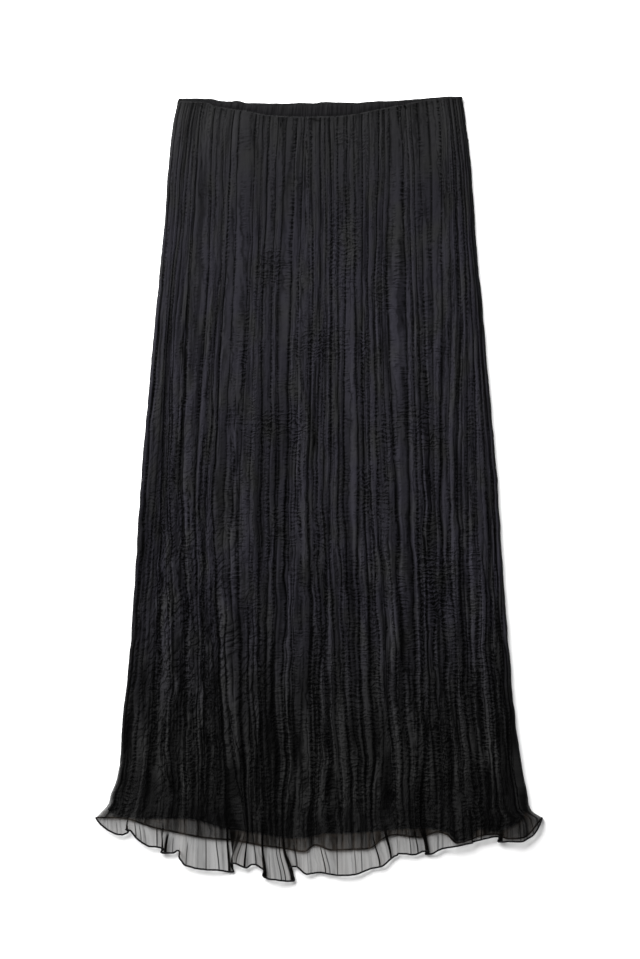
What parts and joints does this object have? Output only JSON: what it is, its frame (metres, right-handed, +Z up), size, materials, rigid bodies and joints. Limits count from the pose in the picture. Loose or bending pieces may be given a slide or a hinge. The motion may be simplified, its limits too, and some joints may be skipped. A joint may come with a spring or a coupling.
{
  "type": "crinkle maxi skirt",
  "caption": "Long A-line skirt of sheer crinkle-pleated cloth over an opaque lining, with an elastic waist and a wavy rolled hem, laid flat.",
  "frame": {"origin": "middle of the bounding box, on the surface that the skirt lies on", "axes": "+Z up out of the front panel, +Y toward the waist, +X toward the right side as seen from above"},
  "size_m": [0.5476, 0.9617, 0.0159],
  "materials": {
    "crinkle_cloth": "sheer black crinkled chiffon, soft matt with a faint sheen",
    "lining_cloth": "opaque black woven lining, slightly satin",
    "turned_edge": "the outer cloth turned over the elastic, puckered"
  },
  "bodies": {
    "root": {"outer_front": "crinkle_cloth", "outer_back": "crinkle_cloth", "lining_front": "lining_cloth", "lining_back": "lining_cloth", "waist_edge_front": "turned_edge", "waist_edge_back": "turned_edge"}
  },
  "joints": []
}
